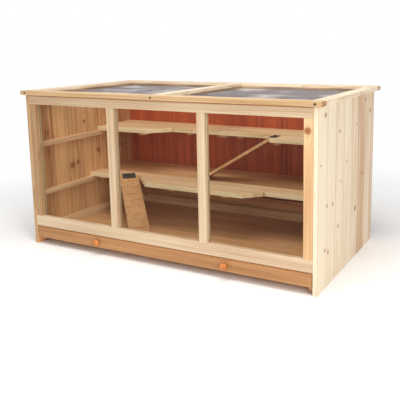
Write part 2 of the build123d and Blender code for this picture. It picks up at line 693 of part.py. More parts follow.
def tray_front():
    """The tray's front board, proud of the frame, with its front edges eased and holes for the knobs."""
    with BuildPart() as piece:
        block(
            (INNER_LEFT + TRAY_FRONT_SIDE_GAP, INNER_RIGHT - TRAY_FRONT_SIDE_GAP),
            (TRAY_FACE, TRAY_FRONT_BACK),
            (TRAY_FRONT_BOTTOM, TRAY_FRONT_TOP),
        )
        fillet(piece.faces().sort_by(Axis.Y)[0].edges(), TRAY_EASE)
        with BuildSketch(Plane.XZ.offset(-TRAY_FACE)) as holes:
            with Locations(*[(x, KNOB_HEIGHT) for x in knob_places().values()]):
                Circle(KNOB_SPIGOT_RADIUS + FIT_CLEARANCE)
        extrude(amount=-KNOB_SPIGOT_LENGTH - FIT_CLEARANCE, mode=Mode.SUBTRACT)
    save(piece, "tray_front")


def tray_box():
    """The tray behind its front board: a thin bottom, two side walls and a back wall."""
    walls = (TRAY_FLOOR, TRAY_WALL_TOP)
    sides = (TRAY_FRONT_BACK, TRAY_BACK - TRAY_BACK_THICK)
    with BuildPart() as bottom:
        block((TRAY_LEFT, TRAY_RIGHT), (TRAY_FRONT_BACK, TRAY_BACK), (TRAY_BOTTOM, TRAY_FLOOR))
    save(bottom, "tray_bottom")
    board("tray_left_side", (TRAY_LEFT, TRAY_LEFT + TRAY_WALL_THICK), sides, walls)
    board("tray_right_side", (TRAY_RIGHT - TRAY_WALL_THICK, TRAY_RIGHT), sides, walls)
    board("tray_back", (TRAY_LEFT, TRAY_RIGHT), (TRAY_BACK - TRAY_BACK_THICK, TRAY_BACK), walls)


def knobs():
    """Two ball-shaped wooden knobs, flat where they meet the tray, each turned with a spigot."""
    radius = KNOB_DIAMETER / 2
    centre = KNOB_LENGTH - radius
    base = sqrt(radius**2 - centre**2)
    shoulder = radians(45)
    for side, x in knob_places().items():
        with BuildPart() as knob:
            with BuildSketch(Plane((x, TRAY_FACE, KNOB_HEIGHT), x_dir=(1, 0, 0), z_dir=(0, 0, 1))):
                with BuildLine():
                    ThreePointArc(
                        (base, 0),
                        (radius * cos(shoulder), -centre - radius * sin(shoulder)),
                        (0, -KNOB_LENGTH),
                    )
                    Polyline(
                        (0, -KNOB_LENGTH),
                        (0, KNOB_SPIGOT_LENGTH),
                        (KNOB_SPIGOT_RADIUS, KNOB_SPIGOT_LENGTH),
                        (KNOB_SPIGOT_RADIUS, 0),
                        (base, 0),
                    )
                make_face()
            revolve(axis=Axis((x, TRAY_FACE, KNOB_HEIGHT), (0, 1, 0)))
        save(knob, f"{side}_knob")


def main():
    """Make every piece in its place in the closed cage."""
    os.makedirs("parts", exist_ok=True)
    side_panels()
    back_panel()
    front_frame()
    windows()
    window_strips()
    rear_rails()
    battens()
    upper_shelf()
    lower_shelf()
    shelf_cleats()
    tray_runners()
    lid_frame()
    lid_panes()
    lid_hinges()
    tray_front()
    tray_box()
    knobs()
    ramp("lower", LOWER_RAMP_PLANE, LOWER_SLOPE, LOWER_SHELF_LEAF)
    ramp("upper", UPPER_RAMP_PLANE, UPPER_SLOPE, UPPER_SHELF_LEAF)
    screws()
    print("ramp slopes in degrees", round(degrees(LOWER_SLOPE), 2), round(degrees(UPPER_SLOPE), 2))


if __name__ == "__main__":
    main()
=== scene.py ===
"""A wooden rodent cage: finishes, some with painted light and shade, turned knobs, recessed screws and a
plain studio, around its frame.
"""

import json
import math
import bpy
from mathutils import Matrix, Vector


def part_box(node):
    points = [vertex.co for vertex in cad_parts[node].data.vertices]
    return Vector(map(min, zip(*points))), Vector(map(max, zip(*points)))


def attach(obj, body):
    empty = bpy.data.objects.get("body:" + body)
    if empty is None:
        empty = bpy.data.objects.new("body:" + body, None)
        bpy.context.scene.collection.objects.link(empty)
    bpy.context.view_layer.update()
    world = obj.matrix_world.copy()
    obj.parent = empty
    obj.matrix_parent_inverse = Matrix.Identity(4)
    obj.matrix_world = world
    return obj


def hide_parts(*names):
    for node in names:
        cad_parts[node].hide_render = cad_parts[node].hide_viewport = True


bl_info = {
    "name": "Wooden Rodent Cage",
    "version": (1, 0, 0),
    "blender": (4, 5, 0),
    "location": "3D View > Sidebar > Cage",
    "description": "Finishes a pine rodent cage with glazed lid, windows, shelves, ramps and tray",
    "category": "Object",
}

import bmesh
import bpy
from bpy.props import FloatProperty, FloatVectorProperty, PointerProperty, StringProperty
from mathutils import Matrix, Vector

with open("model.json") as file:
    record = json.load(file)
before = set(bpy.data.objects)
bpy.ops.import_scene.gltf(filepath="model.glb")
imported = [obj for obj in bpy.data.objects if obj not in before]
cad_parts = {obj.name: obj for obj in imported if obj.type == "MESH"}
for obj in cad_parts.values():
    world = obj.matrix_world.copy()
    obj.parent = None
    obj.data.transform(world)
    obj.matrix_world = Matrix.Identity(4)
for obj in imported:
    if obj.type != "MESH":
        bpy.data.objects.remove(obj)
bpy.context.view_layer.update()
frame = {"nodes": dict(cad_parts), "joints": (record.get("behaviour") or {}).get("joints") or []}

MM = 0.001
X_AXIS, Y_AXIS, Z_AXIS = Vector((1, 0, 0)), Vector((0, 1, 0)), Vector((0, 0, 1))

# Places that the finishes line up with, read from the frame
LEFT_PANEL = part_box("left_side_panel")
RIGHT_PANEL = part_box("right_side_panel")
FRONT_PLANE = LEFT_PANEL[0].y
LEFT_FACE = LEFT_PANEL[0].x


def linear(hex_colour):
    """An sRGB hex colour as the linear red, green, blue and alpha that shaders take."""
    digits = hex_colour.lstrip("#")
    channels = [int(digits[i : i + 2], 16) / 255 for i in (0, 2, 4)]
    return tuple(c / 12.92 if c <= 0.04045 else ((c + 0.055) / 1.055) ** 2.4 for c in channels) + (1.0,)


def on_cage(across, back, up):
    """A place on the body: millimetres from its left face, its front plane and the floor."""
    return Vector((LEFT_FACE + across * MM, FRONT_PLANE + back * MM, up * MM))


# Boards of the side panels, from the front plane
BOARD_COVER = 80 * MM
RIGHT_FIRST_JOINT = 80 * MM
LEFT_FIRST_JOINT = 30 * MM

# Knots: millimetres back from the front plane and up from the floor, then the radius
RIGHT_PANEL_KNOTS = (
    (61, 530, 6.4),
    (193, 465, 4.8),
    (376, 463, 3.2),
    (480, 538, 5.6),
    (540, 493, 7.2),
    (272, 356, 4),
    (24, 388, 3.2),
    (451, 280, 5.6),
    (212, 303, 3.2),
    (80, 255, 4.8),
    (136, 247, 4.8),
    (374, 173, 8),
    (189, 162, 4.8),
    (67, 122, 4.8),
    (95, 107, 5.6),
)
LEFT_PANEL_KNOTS = (
    (78, 408, 8),
    (82, 335, 7),
    (205, 261, 12),
    (235, 268, 8),
    (361, 298, 10),
    (283, 429, 6),
    (504, 299, 8),
    (109, 377, 6),
)

# The right stile's knot: millimetres from the left face, back and up, then the radius
RIGHT_STILE_KNOT = (1092, 0, 490)
RIGHT_STILE_KNOT_RADIUS = 9


def node(tree, kind, inputs=None, **settings):
    """Add one shader node, with its settings, and fill or link its inputs."""
    made = tree.nodes.new(kind)
    for key, value in settings.items():
        setattr(made, key, value)
    for key, value in (inputs or {}).items():
        if isinstance(value, bpy.types.NodeSocket):
            tree.links.new(value, made.inputs[key])
        else:
            made.inputs[key].default_value = value
    return made


def blank_material(name):
    """A material with an empty node tree and its output node."""
    material = bpy.data.materials.new(name)
    material.use_nodes = True
    tree = material.node_tree
    tree.nodes.clear()
    return material, tree, node(tree, "ShaderNodeOutputMaterial")


def maths(tree, operation, *values):
    """One scalar sum in a node tree."""
    return node(tree, "ShaderNodeMath", dict(enumerate(values)), operation=operation).outputs[0]


def vector_maths(tree, operation, *values, output=0):
    """One vector sum in a node tree."""
    return node(tree, "ShaderNodeVectorMath", dict(enumerate(values)), operation=operation).outputs[output]


def blend_colours(tree, factor, first, second, kind="MIX"):
    """A mix of two colours."""
    made = node(tree, "ShaderNodeMix", {0: factor, 6: first, 7: second}, data_type="RGBA", blend_type=kind)
    return made.outputs[2]


def ramp(tree, factor, stops):
    """A colour ramp with (place, colour) stops."""
    made = node(tree, "ShaderNodeValToRGB", {0: factor})
    elements = made.color_ramp.elements
    for _ in range(len(stops) - len(elements)):
        elements.new(0.5)
    for element, (place, colour) in zip(elements, stops):
        element.position = place
        element.color = colour
    return made.outputs[0]


def noise(tree, place, stretch, scale, detail=2.0, roughness=0.5):
    """Soft noise over a place that is stretched along each axis."""
    stretched = vector_maths(tree, "MULTIPLY", place, stretch)
    inputs = {"Vector": stretched, "Scale": scale, "Detail": detail, "Roughness": roughness}
    return node(tree, "ShaderNodeTexNoise", inputs).outputs["Fac"]


def swing(tree, value, share):
    """A value from 0 to 1 as a swing about zero, as wide as the share."""
    return maths(tree, "MULTIPLY", maths(tree, "SUBTRACT", value, 0.5), share)


def facing_share(tree, normal, direction):
    """How far a face looks in a direction, from -1 to 1."""
    return vector_maths(tree, "DOT_PRODUCT", normal, tuple(direction), output=1)


def grain_matrix(along, across):
    """Rows that turn a place on the piece into along, across and through its grain."""
    along, across = along.normalized(), across.normalized()
    return Matrix((along, across, along.cross(across)))


# Pine: sawn, planed and clear lacquered, so it shows growth rings, fine fibres and knots under a soft sheen
RING_SPACING = 7 * MM
FIBRE_SPACING = 0.9 * MM
STREAK_SPACING = 11 * MM
BLOTCH_LENGTH = 180 * MM
JOINT_LINE = 3.2 * MM
END_GRAIN = "#D9BFA0"

# Each pattern's stretch along, across and through the grain, and how much it darkens the wood
SWAY_STRETCH = (2.2, 9.0, 9.0)
RING_STRETCH = (0.03, 1.0, 0.6)
FIBRE_STRETCH = (0.02, 1.0, 1.0)
STREAK_STRETCH = (0.03, 1.0, 1.0)
BLOTCH_STRETCH = (0.35, 3.0, 3.0)
SWAY_RINGS = 5.5
FIBRE_SHARE = 0.45
BLOTCH_SHARE = 0.9
BASE_DEPTH = 0.22
SHEEN_SWING = 0.18

# A wave texture's bands at scale 1 are this far apart
WAVE_PERIOD = 0.314

# Where a piece is cut from the wood: the step for each seed, and the most that one of its boards slides
SEED_STEPS = (0.731, 0.377, 0.219)
BOARD_SLIDE = (3.1, 0.0, 0.4)

# The number of the board past which painted shade darkens a side panel towards the back, and before which it
# lightens the panel towards the front
MIDDLE_BOARD = 3.0

# Cosines past which a face counts as end grain, as the long edge of a board, or as the inner face, whose own
# tints are painted light and shade
END_FACE = 0.8
EDGE_FACE = 0.9
PAINTED_INNER_FACE = 0.3

# Knots: their grid and sizes, and how far and how hard the grain bends round them, in knot radii
KNOT_GRID_ALONG = 330 * MM
KNOT_GRID_ACROSS = 95 * MM
KNOT_SCATTER = 0.85
LOOSE_KNOT_RADIUS = 6 * MM
SMALLEST_KNOT = 0.05 * MM
BEND_STRETCH = (0.45, 1, 0)
CHOSEN_REACH = 2.2
CHOSEN_PULL = 0.8
LOOSE_REACH = 3.0
LOOSE_PULL = 0.7

# A knot's colours and how much they cover, from its middle outwards as shares of the span in knot radii
KNOT_SPAN = 3.0
KNOT_JOINT_AND_SHADOW_BROWN = "#A8662F"
KNOT_SHADES = ((0.0, "#52260F"), (0.16, KNOT_JOINT_AND_SHADOW_BROWN), (0.26, KNOT_JOINT_AND_SHADOW_BROWN), (0.33, "#6E3A16"))
KNOT_COVER = ((0.0, 1.0), (0.3, 0.9), (0.42, 0.13), (1.0, 0.0))


def bent_grain(tree, place, away, distance, reach, strength):
    """A place pushed aside near a knot, so that the grain bends round it."""
    fade = maths(tree, "POWER", maths(tree, "DIVIDE", distance, reach), 2.0)
    pull = maths(tree, "MULTIPLY", maths(tree, "EXPONENT", maths(tree, "MULTIPLY", fade, -1.0)), -strength)
    shift = node(tree, "ShaderNodeVectorMath", {0: away, "Scale": pull}, operation="SCALE").outputs[0]
    return vector_maths(tree, "ADD", place, shift)


def nearest_knot(tree, place, knots):
    """The place pushed aside around each chosen knot, and how far it is from the nearest, in knot radii."""
    pushed, nearest = place, None
    for centre, radius in knots:
        away = vector_maths(tree, "MULTIPLY", vector_maths(tree, "SUBTRACT", place, centre), (1, 1, 0))
        distance = vector_maths(tree, "LENGTH", away, output=1)
        stretched = vector_maths(tree, "MULTIPLY", away, BEND_STRETCH)
        around = vector_maths(tree, "LENGTH", stretched, output=1)
        pushed = bent_grain(tree, pushed, away, around, radius * CHOSEN_REACH, CHOSEN_PULL)
        size = maths(tree, "DIVIDE", distance, radius)
        nearest = size if nearest is None else maths(tree, "MINIMUM", nearest, size)
    return pushed, nearest


def scattered_knot(tree, place, chance):
    """The same for knots scattered at random, one at most in each stretch of board."""
    grid = (1 / KNOT_GRID_ALONG, 1 / KNOT_GRID_ACROSS, 0.0)
    scaled = vector_maths(tree, "MULTIPLY", place, grid)
    cells = node(tree, "ShaderNodeTexVoronoi", {"Vector": scaled, "Scale": 1.0, "Randomness": KNOT_SCATTER})
    away = vector_maths(tree, "SUBTRACT", scaled, cells.outputs["Position"])
    away = vector_maths(tree, "MULTIPLY", away, (KNOT_GRID_ALONG, KNOT_GRID_ACROSS, 0.0))
    distance = vector_maths(tree, "LENGTH", away, output=1)
    luck = node(tree, "ShaderNodeSeparateColor", {0: cells.outputs["Color"]}).outputs[0]
    limits = {"From Min": 1.0 - chance, "From Max": 1.0, "To Min": 0.0, "To Max": LOOSE_KNOT_RADIUS}
    grown = node(tree, "ShaderNodeMapRange", {"Value": luck, **limits})
    size = maths(tree, "ADD", grown.outputs[0], SMALLEST_KNOT)
    pushed = bent_grain(tree, place, away, distance, maths(tree, "MULTIPLY", size, LOOSE_REACH), LOOSE_PULL)
    return pushed, maths(tree, "DIVIDE", distance, size)


def timber(
    name,
    along,
    across,
    seed,
    light,
    dark,
    boards=None,
    knots=(),
    knot_chance=0.25,
    ring_share=0.4,
    streak_share=1.1,
    board_share=0.4,
    joint_and_painted_shadow_width=JOINT_LINE,
    joint_and_painted_shadow_strength=0.6,
    roughness=0.5,
    painted_shade_towards_back=0.0,
    inner=None,
):
    """One piece of timber: rings and fibres along its grain, boards of different tints, and knots; where
    asked, also painted light and shade: a band of painted shadow along an edge, painted shade towards the
    back, and painted shade and highlight on inner faces.
    """
    material, tree, output = blank_material(name)
    turn = grain_matrix(along, across)
    shift = Vector(seed * step for step in SEED_STEPS)
    coordinates = node(tree, "ShaderNodeTexCoord")
    normal = coordinates.outputs["Normal"]
    placed = node(
        tree,
        "ShaderNodeMapping",
        {"Vector": coordinates.outputs["Object"], "Rotation": turn.to_euler("XYZ"), "Location": shift},
        vector_type="POINT",
    ).outputs[0]

    own_knots = [(turn @ centre + shift, radius * MM) for centre, radius in knots]
    pushed, knot_distance = nearest_knot(tree, placed, own_knots)

    board_tone, joint = 0.5, None
    if boards:
        pitch, first = boards
        width = node(tree, "ShaderNodeSeparateXYZ", {0: placed}).outputs[1]
        start = (turn @ first + shift)[1]
        covers = maths(tree, "DIVIDE", maths(tree, "SUBTRACT", width, start), pitch)
        count = maths(tree, "FLOOR", covers)
        edge = maths(tree, "ABSOLUTE", maths(tree, "SUBTRACT", maths(tree, "FRACT", covers), 0.5))
        near = maths(tree, "GREATER_THAN", edge, 0.5 - 0.5 * joint_and_painted_shadow_width / pitch)
        sideways = facing_share(tree, normal, across.normalized())
        flat = maths(tree, "LESS_THAN", maths(tree, "ABSOLUTE", sideways), EDGE_FACE)
        joint = maths(tree, "MULTIPLY", near, flat)
        board = maths(tree, "ADD", count, seed)
        chance = node(tree, "ShaderNodeTexWhiteNoise", {"W": board}, noise_dimensions="1D")
        board_tone = chance.outputs["Value"]
        slide = vector_maths(tree, "MULTIPLY", chance.outputs["Color"], BOARD_SLIDE)
        pushed = vector_maths(tree, "ADD", pushed, slide)

    if knot_chance > 0:
        pushed, loose = scattered_knot(tree, pushed, knot_chance)
        knot_distance = loose if knot_distance is None else maths(tree, "MINIMUM", knot_distance, loose)

    sway = maths(tree, "MULTIPLY", noise(tree, pushed, SWAY_STRETCH, 1.0), SWAY_RINGS * RING_SPACING)
    swayed = node(tree, "ShaderNodeCombineXYZ", {1: sway}).outputs[0]
    ring_place = vector_maths(tree, "MULTIPLY", pushed, RING_STRETCH)
    rings = node(
        tree,
        "ShaderNodeTexWave",
        {
            "Vector": vector_maths(tree, "ADD", ring_place, swayed),
            "Scale": WAVE_PERIOD / RING_SPACING,
            "Distortion": 1.6,
            "Detail": 2.0,
            "Detail Scale": 0.6,
        },
        bands_direction="Y",
        wave_profile="SAW",
    ).outputs["Fac"]
    rings = maths(tree, "POWER", rings, 2.0)
    fibres = noise(tree, pushed, FIBRE_STRETCH, 1 / FIBRE_SPACING, detail=3.0, roughness=0.6)
    streaks = noise(tree, pushed, STREAK_STRETCH, 1 / STREAK_SPACING)
    blotches = noise(tree, pushed, BLOTCH_STRETCH, 1 / BLOTCH_LENGTH)

    depth = maths(tree, "MULTIPLY", rings, ring_share)
    for pattern, share in ((fibres, FIBRE_SHARE), (streaks, streak_share), (blotches, BLOTCH_SHARE)):
        depth = maths(tree, "ADD", depth, swing(tree, pattern, share))
    tone = swing(tree, board_tone, 2 * board_share)
    # Painted shade: each board of a side panel darker than the one before it, further from the front
    if painted_shade_towards_back:
        further = maths(tree, "MULTIPLY", maths(tree, "ADD", count, -MIDDLE_BOARD), painted_shade_towards_back)
        tone = maths(tree, "ADD", tone, further)
    depth = maths(tree, "ADD", maths(tree, "ADD", depth, tone), BASE_DEPTH)
    depth = node(tree, "ShaderNodeClamp", {0: depth}).outputs[0]
    colour = blend_colours(tree, depth, linear(light), linear(dark))
    # Painted light on the faces turned along the inner direction: the side panels' and back's inner faces
    # take darker tints as painted shade, the shelves' front faces paler tints as a painted highlight
    if inner:
        inward, painted_inner_light, painted_inner_dark = inner
        inside = blend_colours(tree, depth, linear(painted_inner_light), linear(painted_inner_dark))
        turned = maths(tree, "GREATER_THAN", facing_share(tree, normal, inward), PAINTED_INNER_FACE)
        colour = blend_colours(tree, turned, colour, inside)
    # Dark lines at the joints between boards, and on the rails the band of painted shadow along the top edge
    if joint is not None:
        colour = blend_colours(tree, maths(tree, "MULTIPLY", joint, joint_and_painted_shadow_strength), colour, linear(KNOT_JOINT_AND_SHADOW_BROWN))

    if knot_distance is not None:
        wobbly = maths(tree, "ADD", knot_distance, swing(tree, fibres, 0.5))
        reach = maths(tree, "DIVIDE", wobbly, KNOT_SPAN)
        shades = [(place, linear(shade)) for place, shade in KNOT_SHADES]
        cover = ramp(tree, reach, [(place, (grey, grey, grey, 1.0)) for place, grey in KNOT_COVER])
        colour = blend_colours(tree, cover, colour, ramp(tree, reach, shades))

    endways = maths(tree, "ABSOLUTE", facing_share(tree, normal, along.normalized()))
    darker = blend_colours(tree, 1.0, colour, linear(END_GRAIN), "MULTIPLY")
    colour = blend_colours(tree, maths(tree, "GREATER_THAN", endways, END_FACE), colour, darker)

    relief = maths(tree, "ADD", maths(tree, "MULTIPLY", fibres, 0.6), maths(tree, "MULTIPLY", rings, 0.4))
    raised = {"Strength": 0.25, "Distance": 0.25 * MM, "Height": relief}
    bump = node(tree, "ShaderNodeBump", raised).outputs[0]
    sheen = maths(tree, "ADD", maths(tree, "MULTIPLY", fibres, SHEEN_SWING), roughness - SHEEN_SWING / 2)
    shader = node(
        tree,
        "ShaderNodeBsdfPrincipled",
        {"Base Color": colour, "Roughness": sheen, "IOR": 1.48, "Normal": bump},
    )
    tree.links.new(shader.outputs[0], output.inputs["Surface"])
    return material


# Clear sheet: the stretch of its patches of painted reflection, its mirroring straight on, how steeply that
# grows, and its dust
PAINTED_REFLECTION_STRETCH = (6.0, 9.0, 3.0)
MIRROR_STRAIGHT_ON = 0.04
MIRROR_POWER = 5.0
DUST = "#B9B7B2"


def clear_pane(name, tint, haze, dull, bright_painted_patch):
    """Clear polished sheet: light passes straight through, and a low angle mirrors more, with painted
    reflection that is stronger in patches.
    """
    material, tree, output = blank_material(name)
    place = node(tree, "ShaderNodeTexCoord").outputs["Object"]
    waves = noise(tree, place, PAINTED_REFLECTION_STRETCH, 1.0, detail=3.0)
    limits = {"Value": waves, "From Min": 0.45, "From Max": 0.68}
    patches = node(tree, "ShaderNodeMapRange", limits).outputs[0]
    # Painted reflection: the mirroring swings between two colours in patches, standing in for shapes of the
    # room mirrored in the sheet
    mirror_with_painted_patches = blend_colours(tree, patches, linear(dull), linear(bright_painted_patch))
    through = node(tree, "ShaderNodeBsdfTransparent", {"Color": linear(tint)})
    mirrored = node(tree, "ShaderNodeBsdfGlossy", {"Color": mirror_with_painted_patches, "Roughness": 0.03})
    facing = node(tree, "ShaderNodeLayerWeight", {"Blend": 0.5}).outputs["Facing"]
    grazing = maths(tree, "MULTIPLY", maths(tree, "POWER", facing, MIRROR_POWER), 1 - MIRROR_STRAIGHT_ON)
    mirrors = maths(tree, "ADD", grazing, MIRROR_STRAIGHT_ON)
    clean = node(tree, "ShaderNodeMixShader", {0: mirrors, 1: through.outputs[0], 2: mirrored.outputs[0]})
    dust = node(tree, "ShaderNodeBsdfDiffuse", {"Color": linear(DUST)})
    shader = node(tree, "ShaderNodeMixShader", {0: haze, 1: clean.outputs[0], 2: dust.outputs[0]})
    tree.links.new(shader.outputs[0], output.inputs["Surface"])
    return material


# Mottling of the zinc plate
MOTTLE_SIZE = 4 * MM
MOTTLE_SHADE = "#57524B"


def zinc_plate(name, colour, roughness):
    """Pressed steel with dull zinc plate: faint mottling over a soft metal shine."""
    material, tree, output = blank_material(name)
    place = node(tree, "ShaderNodeTexCoord").outputs["Object"]
    mottle = noise(tree, place, (1, 1, 1), 1 / MOTTLE_SIZE, detail=3.0)
    shade = blend_colours(tree, mottle, linear(colour), linear(MOTTLE_SHADE))
    rough = maths(tree, "ADD", maths(tree, "MULTIPLY", mottle, 0.25), roughness)
    shader = node(
        tree,
        "ShaderNodeBsdfPrincipled",
        {"Base Color": shade, "Metallic": 1.0, "Roughness": rough},
    )
    tree.links.new(shader.outputs[0], output.inputs["Surface"])
    return material


# Painted shadow along the top edge of the rails that another piece closes on: the lid's overhang over the
# top rail, and the bottom rail over the tray front
TOP_RAIL_PAINTED_SHADOW = 10 * MM
TRAY_FRONT_PAINTED_SHADOW = 6 * MM


def rail_wood_with_painted_shadow(name, seed, light, dark, painted_shadow_width):
    """Wood of a long rail with a band of painted shadow along its top edge, where another piece closes on
    it.
    """
    low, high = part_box(name)
    # The bands repeat at twice the rail's height from its top edge, so only the top edge gets painted shadow
    top = (2 * (high.z - low.z), high)
    return timber(
        f"pine_{name}",
        X_AXIS,
        Z_AXIS,
        seed,
        light,
        dark,
        top,
        knot_chance=0.15,
        board_share=0.0,
        joint_and_painted_shadow_width=painted_shadow_width,
        joint_and_painted_shadow_strength=0.75,
    )


def finish_node(name, material):
    """Give a node of the frame its finish."""
    mesh = frame["nodes"][name].data
    mesh.materials.clear()
    mesh.materials.append(material)


def hex_property(title, default, about):
    """A colour that a user can change, written as an sRGB hex value."""
    return StringProperty(name=title, description=about, default=default)


class CagePaint(bpy.types.PropertyGroup):
    """Colours of the cage's finishes and floor; some wood tints are painted light and shade."""

    # Painted light: paler tints than the front frame's, for the right side panel's outer face and the lid's
    # side, back and middle rails, which face the lamps
    side_light: hex_property("Side, light", "#EDDDC2", "Early wood of the creamy right side")
    side_dark: hex_property("Side, dark", "#BE9368", "Late wood of the creamy right side")
    pine_light: hex_property("Pine, light", "#DEC8A8", "Early wood of the pale frame")
    pine_dark: hex_property("Pine, dark", "#B0875F", "Late wood of the pale frame")
    # Painted shade: darker tints for the left stile and the left side panel's outer face, where less light
    # falls at the cage's left
    tan_light: hex_property("Tan pine, light", "#BF9B70", "Early wood of the browner pieces")
    tan_dark: hex_property("Tan pine, dark", "#835730", "Late wood of the browner pieces")
    lid_light: hex_property("Lid front, light", "#D8B88C", "Early wood of the lid's front rail")
    lid_dark: hex_property("Lid front, dark", "#A57A4A", "Late wood of the lid's front rail")
    # Painted shade: warmer, darker tints than the outside, for the side panels' inner faces, the rear bottom
    # rail and the lower shelf's two rear boards, in the cage's shade and warm bounced light; the upper ramp
    # and the tray bottom take them too
    inside_light: hex_property("Inside, light", "#E8B481", "Early wood of the inside boards")
    inside_dark: hex_property("Inside, dark", "#96582A", "Late wood of the inside boards")
    shelf_light: hex_property("Shelf, light", "#F3CFA4", "Early wood of the shelves")
    shelf_dark: hex_property("Shelf, dark", "#BE8558", "Late wood of the shelves")
    # Painted highlight: the shelves' front faces, turned to the lamps, take these paler tints than their
    # tops
    edge_light: hex_property("Cut edge, light", "#F9E3BC", "Early wood of the shelves' fresh front edges")
    edge_dark: hex_property("Cut edge, dark", "#D3A56C", "Late wood of the shelves' fresh front edges")
    honey_light: hex_property("Honey pine, light", "#E9C798", "Early wood of the warm right stile")
    honey_dark: hex_property("Honey pine, dark", "#C08B55", "Late wood of the warm right stile")
    tray_light: hex_property("Tray, light", "#C39160", "Early wood of the stained tray front")
    tray_dark: hex_property("Tray, dark", "#8A5528", "Late wood of the stained tray front")
    knob_light: hex_property("Knob, light", "#D98A45", "Early wood of the knobs")
    knob_dark: hex_property("Knob, dark", "#A8602A", "Late wood of the knobs")
    outer_light: hex_property("Back outside, light", "#B98562", "Lighter streaks of the outer face")
    outer_dark: hex_property("Back outside, dark", "#87492D", "Darker streaks of the outer face")
    # Painted shade: the back's inner face takes darker, redder tints than its outer face, for the shade
    # inside the cage
    back_light: hex_property("Back, light", "#CC5F32", "Lighter streaks of the red-brown inner face")
    back_dark: hex_property("Back, dark", "#6E1C08", "Darker streaks of the red-brown inner face")
    floor: hex_property("Floor", "#FAFAFA", "Plain pale floor and backdrop")


class CageStudio(bpy.types.PropertyGroup):
    """Camera and lamps."""

    camera_place: FloatVectorProperty(
        name="Camera",
        description="Where the camera stands",
        default=(1.1196, -1.8515, 0.7379),
        subtype="TRANSLATION",
    )
    camera_turn: FloatProperty(name="Turn", description="Camera turned left of straight on", default=27.58)
    camera_dip: FloatProperty(name="Dip", description="Camera tilted down, in degrees", default=9.41)
    camera_roll: FloatProperty(name="Roll", description="Camera rolled, in degrees", default=-0.693)
    focal: FloatProperty(name="Focal length", description="In picture widths", default=1.4778)
    key_power: FloatProperty(name="Key lamp", description="Lamp at the right", default=40.0, unit="POWER")
    top_power: FloatProperty(name="Top lamp", description="Lamp overhead", default=64.0, unit="POWER")
    fill_power: FloatProperty(name="Fill lamp", description="Lamp in front", default=12.0, unit="POWER")
    sky: FloatProperty(name="Room light", description="Strength of the room light", default=0.42, min=0.0)


def paint():
    """The scene's colours."""
    return bpy.context.scene.cage_paint


def tints(wood):
    """The light and dark colours of one kind of wood."""
    return getattr(paint(), f"{wood}_light"), getattr(paint(), f"{wood}_dark")


def studio():
    """The scene's camera and lamp settings."""
    return bpy.context.scene.cage_studio


class CageOperator(bpy.types.Operator):
    """Shared by the operators that finish the cage."""

    bl_options = {"REGISTER", "UNDO"}


class CAGE_OT_frame(CageOperator):
    """Finish the front frame and the rails and strips inside, with a painted shadow under the lid and
    painted shade on the left stile and the rear bottom rail
    """

    bl_idname = "cage.frame"
    bl_label = "Frame"

    def execute(self, context):
        pine = tints("pine")
        finish_node("front_top_rail", rail_wood_with_painted_shadow("front_top_rail", 1, *pine, painted_shadow_width=TOP_RAIL_PAINTED_SHADOW))
        for seed, name in enumerate(("front_bottom_rail", "rear_top_rail"), 2):
            finish_node(name, timber(f"pine_{name}", X_AXIS, Z_AXIS, seed, *pine, knot_chance=0.1))
        # Painted shade: the rear bottom rail, low inside the cage, takes the darker inside tints
        finish_node("rear_bottom_rail", timber("pine_rear_bottom_rail", X_AXIS, Z_AXIS, 4, *tints("inside")))
        # Painted shade: the left stile takes the darker tan tints
        left = timber("pine_left_stile", Z_AXIS, X_AXIS, 11, *tints("tan"), knot_chance=0.1)
        finish_node("left_stile", left)
        for seed, name in enumerate(("left_mullion", "right_mullion", "window_strips"), 12):
            finish_node(name, timber(f"pine_{name}", Z_AXIS, X_AXIS, seed, *pine, knot_chance=0.12))
        knots = ((on_cage(*RIGHT_STILE_KNOT), RIGHT_STILE_KNOT_RADIUS),)
        right = timber("pine_right_stile", Z_AXIS, X_AXIS, 16, *tints("honey"), knots=knots, knot_chance=0)
        finish_node("right_stile", right)
        return {"FINISHED"}


class CAGE_OT_panels(CageOperator):
    """Finish the side panels, board by board, with painted shade on their inner faces and towards the back
    """

    bl_idname = "cage.panels"
    bl_label = "Side panels"

    def execute(self, context):
        # Each side: its name, panel, first joint, knots, seed, inward direction, painted shade towards the
        # back, and the tints of its outer face
        sides = (
            ("right", RIGHT_PANEL, RIGHT_FIRST_JOINT, RIGHT_PANEL_KNOTS, 21, -X_AXIS, 0.07, "side"),
            # Painted shade: the left side's outer face takes the darker tan tints
            ("left", LEFT_PANEL, LEFT_FIRST_JOINT, LEFT_PANEL_KNOTS, 25, X_AXIS, 0.03, "tan"),
        )
        for side, (low, _), first, places, seed, inward, painted_shade_towards_back, wood in sides:
            name = f"{side}_side_panel"
            start = Vector((low.x, low.y + first, 0.0))
            knots = [(Vector((low.x, low.y + back * MM, up * MM)), radius) for back, up, radius in places]
            finish = timber(
                f"pine_{name}",
                Z_AXIS,
                Y_AXIS,
                seed,
                *tints(wood),
                (BOARD_COVER, start),
                knots,
                knot_chance=0.0,
                ring_share=0.55,
                streak_share=1.5,
                board_share=0.5,
                painted_shade_towards_back=painted_shade_towards_back,
                # Painted shade: the panels' inner faces take the warmer, darker inside tints
                inner=(inward, *tints("inside")),
            )
            finish_node(name, finish)
        return {"FINISHED"}


class CAGE_OT_back(CageOperator):
    """Finish the plywood back, with painted shade on its inner face"""

    bl_idname = "cage.back"
    bl_label = "Back"

    def execute(self, context):
        ply = timber(
            "red_brown_plywood",
            Z_AXIS,
            X_AXIS,
            31,
            *tints("outer"),
            knot_chance=0.0,
            roughness=0.55,
            # Painted shade: the inner face takes the darker, redder back tints
            inner=(-Y_AXIS, *tints("back")),
        )
        finish_node("back_panel", ply)
        return {"FINISHED"}


